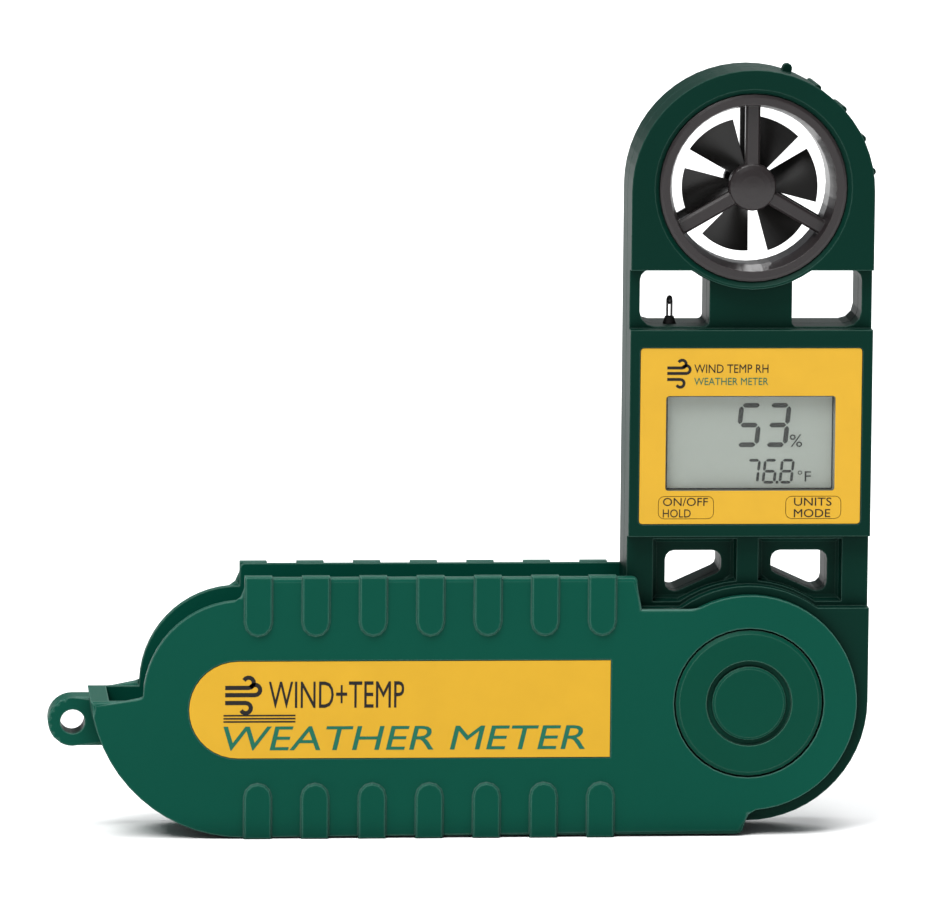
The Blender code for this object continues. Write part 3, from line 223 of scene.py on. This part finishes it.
def printed_film(name, colour, roughness, gloss, peel=160.0):
    """Film printed in one colour: faint mottle, a fine screen texture and painted shade near its edges."""
    material, tree, shader = blank(name)
    mottle = noise(tree, own_place(tree), peel, 3.0)
    ink = mixed(tree, mottle, shade_of(colour, 0.94), shade_of(colour, 1.05))
    # Painted shade: the ink is darkened where nearby faces close it in, as along the walls of its recess.
    edge_shade = graded(tree, opened(tree, 0.0008), 0.55, 1.0, start=0.25, stop=0.75)
    plug(tree, shader, {"Base Color": mixed(tree, 1.0, ink, edge_shade, "MULTIPLY"),
                        "Roughness": roughness, "Specular IOR Level": gloss})
    bumped(tree, shader, mottle, 0.25, 0.00003)
    return material


label_yellow = printed_film("label_yellow", (0.585, 0.332, 0.021), 0.50, 0.15)
coat(label_yellow, "sleeve_label")


# Print on the sleeve label: label_words, label_mark and label_bar_1 to label_bar_3
# Screen-printed inks, black and green, a few hundredths of a millimetre thick. The words only say
# what the object is and what it measures, and the mark is a plain curl of wind.

INK = 0.00002
LABEL_PRINT_LEFT = 0.0864
TITLE_SIZE = (0.0594, 0.0040)
TITLE_DROP = 0.0055
TITLE_SLANT = 0.18
MEASURES_SIZE = (0.0222, 0.0044)
MEASURES_SHIFT = 0.0074
MEASURES_RISE = 0.0017
LABEL_MARK_SIZE = (0.0066, 0.0050)
LABEL_MARK_STROKE = 0.0007
LABEL_MARK_RISE = 0.0016
BAR_LENGTH = 0.0118
BAR_STROKE = 0.00026
BAR_DROP = 0.0017
BAR_PITCH = 0.00052

pivot = Vector(next(joint["pos_m"] for joint in frame["joints"] if joint["name"] == "body_fold"))
scene = bpy.context.scene
black_ink = printed_film("black_ink", (0.010, 0.009, 0.008), 0.45, 0.20, 900.0)
green_ink = printed_film("green_ink", (0.006, 0.120, 0.070), 0.45, 0.20, 900.0)


def lay_ink(name, data, ink, body):
    """Prints a flat mesh: gives it the ink and its thickness, and lets it ride on a body."""
    data.materials.append(ink)
    printed = bpy.data.objects.new(name, data)
    scene.collection.objects.link(printed)
    thick = printed.modifiers.new("ink", "SOLIDIFY")
    thick.thickness = INK
    thick.offset = 0.0
    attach(printed, body)


def words(name, text, left, middle, face, size, ink, body, slant=0.0):
    """Printed words: their left end, their middle height, the face they lie on and their size."""
    curve = bpy.data.curves.new(name, "FONT")
    curve.body = text
    curve.size = 1.0
    curve.shear = slant
    curve.resolution_u = 3
    trial = bpy.data.objects.new(name, curve)
    scene.collection.objects.link(trial)
    bpy.context.view_layer.update()
    shape = bpy.data.meshes.new_from_object(trial.evaluated_get(bpy.context.evaluated_depsgraph_get()))
    bpy.data.objects.remove(trial)
    bpy.data.curves.remove(curve)
    low = Vector((min(v.co.x for v in shape.vertices), min(v.co.y for v in shape.vertices)))
    high = Vector((max(v.co.x for v in shape.vertices), max(v.co.y for v in shape.vertices)))
    scale_x = size[0] / (high.x - low.x)
    scale_z = size[1] / (high.y - low.y)
    for vert in shape.vertices:
        x = left + (vert.co.x - low.x) * scale_x
        z = middle + (vert.co.y - (low.y + high.y) / 2) * scale_z
        vert.co = (x, face - INK, z)
    shape.name = name
    shape.materials.clear()
    lay_ink(name, shape, ink, body)


def strokes(name, lines, width, face, ink, body):
    """Printed strokes of even width along lines of (x, z) points."""
    mesh = bmesh.new()
    for line in lines:
        rows = []
        for i, point in enumerate(line):
            here = Vector(point)
            ahead = Vector(line[min(i + 1, len(line) - 1)]) - Vector(line[max(i - 1, 0)])
            side = Vector((-ahead.y, ahead.x)).normalized() * width / 2
            rows.append([mesh.verts.new((p.x, face - INK, p.y)) for p in (here - side, here + side)])
        for one, two in zip(rows, rows[1:]):
            mesh.faces.new((one[0], two[0], two[1], one[1]))
    data = bpy.data.meshes.new(name)
    mesh.to_mesh(data)
    mesh.free()
    lay_ink(name, data, ink, body)


def wind_curl(left, middle, size):
    """Three gusts, each a straight stroke ending in a curl."""
    width, height = size
    radius = height * 0.17
    lines = []
    for rise, reach, turn in ((0.26, 0.62, 1), (0.02, 0.78, 1), (-0.24, 0.55, -1)):
        level = middle + rise * height
        end = left + reach * width
        line = [(left + width * 0.04, level), ((left + end) / 2, level), (end, level)]
        for k in range(1, 10):
            angle = math.radians(-90 + 27 * k)
            z = level + turn * (radius + radius * math.sin(angle))
            line.append((end + radius * math.cos(angle), z))
        lines.append(line)
    return lines


label_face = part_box("sleeve_label")[0].y
label_left = pivot.x - LABEL_PRINT_LEFT
words("label_title", "WEATHER METER", label_left, pivot.z - TITLE_DROP, label_face, TITLE_SIZE,
      green_ink, "sleeve", slant=TITLE_SLANT)
words("label_words", "WIND+TEMP", label_left + MEASURES_SHIFT, pivot.z + MEASURES_RISE, label_face,
      MEASURES_SIZE, black_ink, "sleeve")
strokes("label_mark", wind_curl(label_left, pivot.z + LABEL_MARK_RISE, LABEL_MARK_SIZE),
        LABEL_MARK_STROKE, label_face, black_ink, "sleeve")
for i in range(3):
    bar_z = pivot.z - BAR_DROP - BAR_PITCH * i
    strokes(f"label_bar_{i + 1}", [[(label_left, bar_z), (label_left + BAR_LENGTH, bar_z)]], BAR_STROKE,
            label_face, black_ink, "sleeve")


# Display overlay and keys: display_overlay, power_key, mode_key
# One sheet of printed film over the display, with its two keys domed under the same film and a
# clear view in the middle. It is satin, a little glossier than the label on the sleeve.

overlay_yellow = printed_film("overlay_yellow", (0.585, 0.332, 0.021), 0.42, 0.22, 220.0)
coat(overlay_yellow, "display_overlay", "power_key", "mode_key")


# Print on the overlay and the keys: overlay_mark, overlay_words, overlay_name, and each key's words
# Black and green inks on the film above the view, and black words on the keys that say what each
# one does. They're generic words, in a plain sans letter.

OVERLAY_MARK_SIZE = (0.0042, 0.0038)
OVERLAY_MARK_STROKE = 0.00048
OVERLAY_MARK_PLACE = (-0.0140, 0.0115)
HEADING_LEFT = -0.0094
HEADINGS = (("overlay_words", "WIND TEMP RH", 0.01235, (0.0122, 0.0014), black_ink),
            ("overlay_name", "WEATHER METER", 0.01025, (0.0122, 0.0012), green_ink))
KEY_LETTER = 0.00135
KEY_ROWS = (("_upper_words", -0.00965), ("_lower_words", -0.01155))
KEY_WORDS = (("power_key", -0.0143, (("ON/OFF", 0.0074), ("HOLD", 0.0046))),
             ("mode_key", 0.0073, (("UNITS", 0.0062), ("MODE", 0.0060))))

view_low, view_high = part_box("display_window")
view = (view_low + view_high) / 2
film_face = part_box("display_overlay")[0].y
mark_x, mark_z = OVERLAY_MARK_PLACE
strokes("overlay_mark", wind_curl(view.x + mark_x, view.z + mark_z, OVERLAY_MARK_SIZE),
        OVERLAY_MARK_STROKE, film_face, black_ink, "meter")
for name, text, rise, size, ink in HEADINGS:
    words(name, text, view.x + HEADING_LEFT, view.z + rise, film_face, size, ink, "meter")
for key, shift, lines in KEY_WORDS:
    key_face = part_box(key)[0].y
    for (row, rise), (text, length) in zip(KEY_ROWS, lines):
        words(key + row, text, view.x + shift, view.z + rise, key_face, (length, KEY_LETTER), black_ink,
              key)


# Display window: display_window
# A clear acrylic pane behind the opening in the film. It's nearly colourless, polished, and shows
# only a weak reflection over the display.

window_clear, window_tree, window_shader = blank("window_clear")
haze = window_tree.nodes.new("ShaderNodeTexNoise")
plug(window_tree, haze, {"Scale": 70.0})
plug(window_tree, window_shader, {"Base Color": (0.55, 0.60, 0.56, 1.0), "Specular IOR Level": 0.5,
                                  "Alpha": graded(window_tree, haze.outputs["Fac"], 0.02, 0.05),
                                  "Roughness": graded(window_tree, haze.outputs["Fac"], 0.08, 0.20)})
coat(window_clear, "display_window")


# Liquid crystal panel: lcd_panel, lcd_frame
# A reflective twisted-nematic panel: glass over a silvery grey-green polariser with a fine grain,
# held in a black moulded frame that clips to the board.

lcd_grey = printed_film("lcd_grey", (0.50, 0.55, 0.495), 0.38, 0.25, 1500.0)
coat(lcd_grey, "lcd_panel")
inner_black = moulded("inner_black", (0.014, 0.013, 0.013), 0.50, 0.25, (0.06, 0.06, 0.06),
                      streak=120.0)
coat(inner_black, "lcd_frame")


# Shown characters: lcd_humidity, lcd_temperature, lcd_percent, lcd_unit, lcd_border_1 to 4
# Dark liquid crystal segments a little in front of the polariser: slanted seven-segment digits,
# with gaps between the segments, and a thin dark line where the pane ends.

segment_black = printed_film("segment_black", (0.012, 0.013, 0.013), 0.30, 0.25, 1200.0)
SEGMENTS = {"3": "abgcd", "5": "afgcd", "6": "afgedc", "7": "abc", "8": "abcdefg"}
SEGMENT_WIDTH = 0.20
SEGMENT_GAP = 0.035
DIGIT_SLANT = 0.10
READINGS = (("lcd_humidity", "53", (0.00225, 0.00285), (0.0039, 0.0073), 0.0047),
            ("lcd_temperature", "76.8", (0.0034, -0.0048), (0.0023, 0.0041), 0.0028))
SIGNS = (("lcd_percent", "%", (0.0066, 0.00025), (0.0021, 0.0021)),
         ("lcd_unit", "\u00b0F", (0.0080, -0.0056), (0.0022, 0.0018)))
BORDER_HALF = (0.01365, 0.00765)
BORDER_STROKE = 0.00022


def digits(name, text, centre_x, centre_z, size, pitch, face):
    """Seven-segment digits, slanted, with a point drawn where the text has one."""
    width, height = size
    mesh = bmesh.new()
    bar = width * SEGMENT_WIDTH
    gap = width * SEGMENT_GAP
    first_x = centre_x - (len(text.replace(".", "")) - 1) * pitch / 2
    half_w, half_h = width / 2 - bar / 2, height / 2 - bar / 2
    ends = {"a": ((-half_w, half_h), (half_w, half_h)), "b": ((half_w, half_h), (half_w, 0)),
            "c": ((half_w, 0), (half_w, -half_h)), "d": ((-half_w, -half_h), (half_w, -half_h)),
            "e": ((-half_w, 0), (-half_w, -half_h)), "f": ((-half_w, half_h), (-half_w, 0)),
            "g": ((-half_w, 0), (half_w, 0))}

    def polygon(points):
        """A flat shape of (x, z) points, leaning with the digits."""
        mesh.faces.new([mesh.verts.new((x + (z - centre_z) * DIGIT_SLANT, face, z)) for x, z in points])

    index = 0
    for letter in text:
        if letter == ".":
            x = first_x + (index - 0.5) * pitch
            z = centre_z - height / 2
            polygon([(x - bar / 2, z), (x + bar / 2, z), (x + bar / 2, z + bar), (x - bar / 2, z + bar)])
            continue
        for part in SEGMENTS[letter]:
            start, end = (Vector(p) for p in ends[part])
            along = (end - start).normalized()
            side = Vector((-along.y, along.x)) * bar / 2
            start, end = start + along * gap, end - along * gap
            offset = Vector((first_x + index * pitch, centre_z))
            tip = along * bar / 2
            ring = [start, start + tip + side, end - tip + side, end, end - tip - side, start + tip - side]
            polygon([tuple(offset + p) for p in ring])
        index += 1
    bmesh.ops.recalc_face_normals(mesh, faces=mesh.faces)
    data = bpy.data.meshes.new(name)
    mesh.to_mesh(data)
    mesh.free()
    lay_ink(name, data, segment_black, "meter")


panel_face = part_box("lcd_panel")[0].y - 2 * INK
for name, text, (shift, rise), size, pitch in READINGS:
    digits(name, text, view.x + shift, view.z + rise, size, pitch, panel_face)
for name, text, (shift, rise), size in SIGNS:
    words(name, text, view.x + shift, view.z + rise, panel_face, size, segment_black, "meter")
border = [(view.x + side_x * BORDER_HALF[0], view.z + side_z * BORDER_HALF[1])
          for side_x, side_z in ((-1, -1), (1, -1), (1, 1), (-1, 1), (-1, -1))]
for i in range(4):
    strokes(f"lcd_border_{i + 1}", [border[i:i + 2]], BORDER_STROKE, panel_face, segment_black, "meter")


# Board and its parts: circuit_board, power_switch, mode_switch, microcontroller, crystal
# A glass-epoxy board under green solder mask, with moulded black packages soldered on both of its
# faces and a drawn steel can over the crystal.

def woven(name, colour, roughness, weave=1800.0):
    """Solder mask over woven glass: two crossed wave bands show through a glossy coat."""
    material, tree, shader = blank(name)
    place = own_place(tree)
    cross = tree.nodes.new("ShaderNodeMath")
    cross.operation = "MULTIPLY"
    for i, axis in enumerate(("X", "Z")):
        wave = tree.nodes.new("ShaderNodeTexWave")
        wave.bands_direction = axis
        plug(tree, wave, {"Vector": place, "Scale": weave})
        plug(tree, cross, {i: wave.outputs["Fac"]})
    mask = mixed(tree, cross.outputs["Value"], shade_of(colour, 0.75), shade_of(colour, 1.3))
    plug(tree, shader, {"Base Color": mask, "Roughness": roughness, "Coat Weight": 0.3})
    return material


board_green = woven("board_green", (0.012, 0.120, 0.045), 0.35)
coat(board_green, "circuit_board")
coat(inner_black, "power_switch", "mode_switch", "microcontroller")
drawn_steel = metal("drawn_steel", (0.62, 0.62, 0.60), 0.30, 500.0, (1.0, 1.0, 12.0))
coat(drawn_steel, "crystal")


# Seals and contact strips: case_gasket, upper_contact_strip, lower_contact_strip, pickup_lead
# Grey silicone: a moulded gasket between the case halves, layered conductive strips that join the
# panel to the board, and the flat lead that comes down from the vane's pickup.

silicone = moulded("silicone", (0.050, 0.050, 0.052), 0.75, 0.20, (0.09, 0.09, 0.09), grain=0.00006)
coat(silicone, "case_gasket", "upper_contact_strip", "lower_contact_strip", "pickup_lead")


# Battery: coin_cell, battery_spring, battery_clip
# A lithium coin cell in a pressed stainless can, held between a folded leaf spring and a straight
# clip of phosphor bronze.

coat(drawn_steel, "coin_cell")
spring_bronze = metal("spring_bronze", (0.76, 0.55, 0.28), 0.28, 420.0, (10.0, 1.0, 1.0))
coat(spring_bronze, "battery_spring", "battery_clip")


# Sensors: thermistor, thermistor_seal, humidity_sensor, vane_pickup
# A bead thermistor dipped in black epoxy stands on two leads in the left window, sealed by a
# rubber sleeve. The humidity sensor is a ceramic chip, and the pickup below the vane a black block.

bead_epoxy = moulded("bead_epoxy", (0.010, 0.010, 0.011), 0.22, 0.45, (0.03, 0.03, 0.03), edge=0.0001)
coat(bead_epoxy, "thermistor")
coat(inner_black, "thermistor_seal", "vane_pickup")
chip_ceramic = moulded("chip_ceramic", (0.62, 0.61, 0.57), 0.55, 0.30, (0.75, 0.75, 0.72), streak=400.0)
coat(chip_ceramic, "humidity_sensor")


# Vane housing: vane_housing, vane_rear_ring
# The replaceable wind vane's case, two rings of black glass-filled nylon with three spokes each,
# snapped together and pressed into the head.

vane_black = moulded("vane_black", (0.0165, 0.0130, 0.0135), 0.34, 0.38, (0.085, 0.075, 0.075),
                     edge=0.00025, shade=0.0035, streak=70.0)
coat(vane_black, "vane_housing", "vane_rear_ring")


# Impeller: impeller_fan, in place of the impeller
# A light six-bladed impeller moulded in black nylon. Its blades overlap the gaps between the
# spokes, with a smooth pitch from edge to edge that thins a little towards the tips.

BLADES = 6
FIRST_BLADE = 8.0
BLADE_SPAN = 45.0
BLADE_RISE = 0.0034
BLADE_THICK = 0.00034
BLADE_THINNING = 0.00010
BLADE_BOW = 0.0003
BLADE_STEPS = 16
REACH_STEPS = 8
FAN_HUB = 0.0032
FAN_BORE = 0.00065
HUB_ROUNDING = ((0.0006, 0.0), (0.0002, 0.00015), (0.0, 0.0005))
HUB_CUP = 0.0025
HUB_CUP_DEPTH = 0.0013
HUB_STEPS = 48

spin = Vector(next(joint["pos_m"] for joint in frame["joints"] if joint["name"] == "impeller_spin"))
fan_low, fan_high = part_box("impeller")
fan_tip = (fan_high.x - fan_low.x) / 2
blade_root = FAN_HUB * 0.9
fan_mesh = bmesh.new()
for k in range(BLADES):
    sheets = []
    for side in (-1, 1):
        rows = []
        for i in range(BLADE_STEPS + 1):
            turn = i / BLADE_STEPS - 0.5
            row = []
            for j in range(REACH_STEPS + 1):
                reach = j / REACH_STEPS
                radius = blade_root + (fan_tip - blade_root) * reach
                angle = math.radians(FIRST_BLADE + 360 / BLADES * k + BLADE_SPAN * turn)
                thickness = BLADE_THICK - BLADE_THINNING * reach
                bow = BLADE_BOW * math.cos(math.pi * turn)
                y = BLADE_RISE * turn + side * thickness * math.cos(math.pi * turn * 0.8) - bow
                row.append(fan_mesh.verts.new((radius * math.cos(angle), y, radius * math.sin(angle))))
            rows.append(row)
        sheets.append(rows)
    for rows in sheets:
        for i in range(BLADE_STEPS):
            for j in range(REACH_STEPS):
                fan_mesh.faces.new((rows[i][j], rows[i + 1][j], rows[i + 1][j + 1], rows[i][j + 1]))
    rim = [(i, 0) for i in range(BLADE_STEPS + 1)] + [(BLADE_STEPS, j) for j in range(1, REACH_STEPS + 1)]
    rim += [(i, REACH_STEPS) for i in range(BLADE_STEPS - 1, -1, -1)]
    rim += [(0, j) for j in range(REACH_STEPS - 1, 0, -1)]
    for n in range(len(rim)):
        (a, b), (c, d) = rim[n - 1], rim[n]
        fan_mesh.faces.new((sheets[0][a][b], sheets[1][a][b], sheets[1][c][d], sheets[0][c][d]))
half = (fan_high.y - fan_low.y) / 2
hub_profile = [(FAN_BORE, -half)] + [(FAN_HUB - inward, back - half) for inward, back in HUB_ROUNDING]
hub_profile += [(FAN_HUB, half), (HUB_CUP, half), (HUB_CUP, half - HUB_CUP_DEPTH),
                (FAN_BORE, half - HUB_CUP_DEPTH)]
rings = []
for radius, y in hub_profile:
    turns = [2 * math.pi * n / HUB_STEPS for n in range(HUB_STEPS)]
    rings.append([fan_mesh.verts.new((radius * math.cos(turn), y, radius * math.sin(turn)))
                  for turn in turns])
for one, two in zip(rings, rings[1:] + rings[:1]):
    for n in range(HUB_STEPS):
        fan_mesh.faces.new((one[n - 1], one[n], two[n], two[n - 1]))
bmesh.ops.recalc_face_normals(fan_mesh, faces=fan_mesh.faces)
fan_data = bpy.data.meshes.new("impeller_fan")
fan_mesh.to_mesh(fan_data)
fan_mesh.free()
fan_data.shade_smooth()
fan_data.set_sharp_from_angle(angle=math.radians(35))
fan = bpy.data.objects.new("impeller_fan", fan_data)
scene.collection.objects.link(fan)
fan.location = (spin.x, (fan_low.y + fan_high.y) / 2, spin.z)
fan_black = moulded("fan_black", (0.0120, 0.0110, 0.0105), 0.36, 0.32, (0.05, 0.048, 0.046),
                    edge=0.0002, shade=0.003, streak=110.0)
fan_data.materials.append(fan_black)
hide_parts("impeller")
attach(fan, "impeller")


# Vane bearings: impeller_shaft, impeller_magnet, front_jewel, rear_jewel
# A ground steel shaft turns between two sapphire cup jewels pressed in the hubs, and carries a
# small sintered ring magnet that the pickup senses.

ground_steel = metal("ground_steel", (0.66, 0.66, 0.67), 0.18, 1500.0, (1.0, 8.0, 1.0))
coat(ground_steel, "impeller_shaft")
sintered = metal("sintered", (0.30, 0.30, 0.32), 0.45, 2500.0, (1.0, 1.0, 1.0), 0.4)
coat(sintered, "impeller_magnet")
jewel_red = moulded("jewel_red", (0.45, 0.05, 0.10), 0.12, 0.60, (0.60, 0.20, 0.25), edge=0.00008,
                    grain=0.000003)
coat(jewel_red, "front_jewel", "rear_jewel")


# Pivot: front_pivot_disc, rear_pivot_disc, front_pivot_cap, rear_pivot_cap
# Moulded discs that fill the holes in the sleeve and turn with the case, each with a snapped-in
# cap over the screw. The plastic is a warmer green than the sleeve's, and slightly smoother.

pivot_green = moulded("pivot_green", (0.0012, 0.0500, 0.0310), 0.40, 0.05, (0.14, 0.28, 0.22),
                      edge=0.00035, shade=0.0025, streak=50.0)
coat(pivot_green, "front_pivot_disc", "rear_pivot_disc", "front_pivot_cap", "rear_pivot_cap")


# Pivot hardware: pivot_screw, pivot_nut, friction_washer
# A slotted steel screw and a brass nut clamp the discs, and a steel wave washer behind the hub
# gives the fold its friction.

coat(plated_steel, "pivot_screw", "friction_washer")
turned_brass = metal("turned_brass", (0.78, 0.57, 0.26), 0.26, 800.0, (1.0, 7.0, 1.0))
coat(turned_brass, "pivot_nut")


# Studio
# A pale paper floor under three soft lights: a key from the front left, one from almost overhead
# and a weaker one behind that catches the top edges. The camera looks a little down from the left.

scene.view_settings.view_transform = "Standard"


def sun(name, strength, spread, azimuth, elevation):
    """A soft distant light; azimuth is measured like the camera's, elevation above the floor."""
    light = bpy.data.lights.new(name, "SUN")
    light.energy = strength
    light.angle = math.radians(spread)
    lamp = bpy.data.objects.new(name, light)
    scene.collection.objects.link(lamp)
    a, e = math.radians(azimuth), math.radians(elevation)
    toward = Vector((math.sin(a) * math.cos(e), -math.cos(a) * math.cos(e), math.sin(e)))
    lamp.rotation_euler = toward.to_track_quat("Z", "Y").to_euler()


sun("key_light", 2.7, 30, -38, 55)
sun("top_light", 2.2, 40, 20, 82)
sun("back_light", 1.6, 30, 165, 42)

world = bpy.data.worlds.new("studio")
world.use_nodes = True
scene.world = world
sky_tree = world.node_tree
dim = plug(sky_tree, sky_tree.nodes["Background"], {"Color": (0.92, 0.96, 1.0, 1.0), "Strength": 0.22})
bright = plug(sky_tree, sky_tree.nodes.new("ShaderNodeBackground"),
              {"Color": (1.0, 1.0, 1.0, 1.0), "Strength": 1.0})
seen = sky_tree.nodes.new("ShaderNodeLightPath").outputs["Is Camera Ray"]
sky = plug(sky_tree, sky_tree.nodes.new("ShaderNodeMixShader"),
           {0: seen, 1: dim.outputs[0], 2: bright.outputs[0]})
plug(sky_tree, sky_tree.nodes["World Output"], {"Surface": sky.outputs[0]})

floor_mesh = bmesh.new()
bmesh.ops.create_grid(floor_mesh, x_segments=2, y_segments=2, size=12.0)
floor_data = bpy.data.meshes.new("floor")
floor_mesh.to_mesh(floor_data)
floor_mesh.free()
floor = bpy.data.objects.new("floor", floor_data)
scene.collection.objects.link(floor)
floor.location.z = cad_box[0].z
floor_paper, paper_tree, paper = blank("floor_paper")
plug(paper_tree, paper, {"Base Color": (0.93, 0.93, 0.93, 1.0), "Roughness": 0.95,
                         "Specular IOR Level": 0.0})
floor_data.materials.append(floor_paper)

CAMERA_AZIMUTH = math.radians(-4.5)
CAMERA_ELEVATION = math.radians(7.8)
CAMERA_DISTANCE = 1.40
CAMERA_ROLL = math.radians(0.5)
CAMERA_AIM = Vector((-0.0455, -0.0090, 0.0405))
CAMERA_LENS = 325.0
toward_camera = Vector((math.sin(CAMERA_AZIMUTH) * math.cos(CAMERA_ELEVATION),
                        -math.cos(CAMERA_AZIMUTH) * math.cos(CAMERA_ELEVATION),
                        math.sin(CAMERA_ELEVATION)))
camera_data = bpy.data.cameras.new("camera")
camera_data.sensor_width = 36.0
camera_data.lens = CAMERA_LENS
camera_data.clip_end = 50.0
camera = bpy.data.objects.new("camera", camera_data)
scene.collection.objects.link(camera)
camera.location = pivot + CAMERA_AIM + toward_camera * CAMERA_DISTANCE
facing = toward_camera.to_track_quat("Z", "Y")
camera.rotation_euler = (facing.to_matrix().to_4x4()
                         @ Matrix.Rotation(CAMERA_ROLL, 4, "Z")).to_euler()
scene.camera = camera
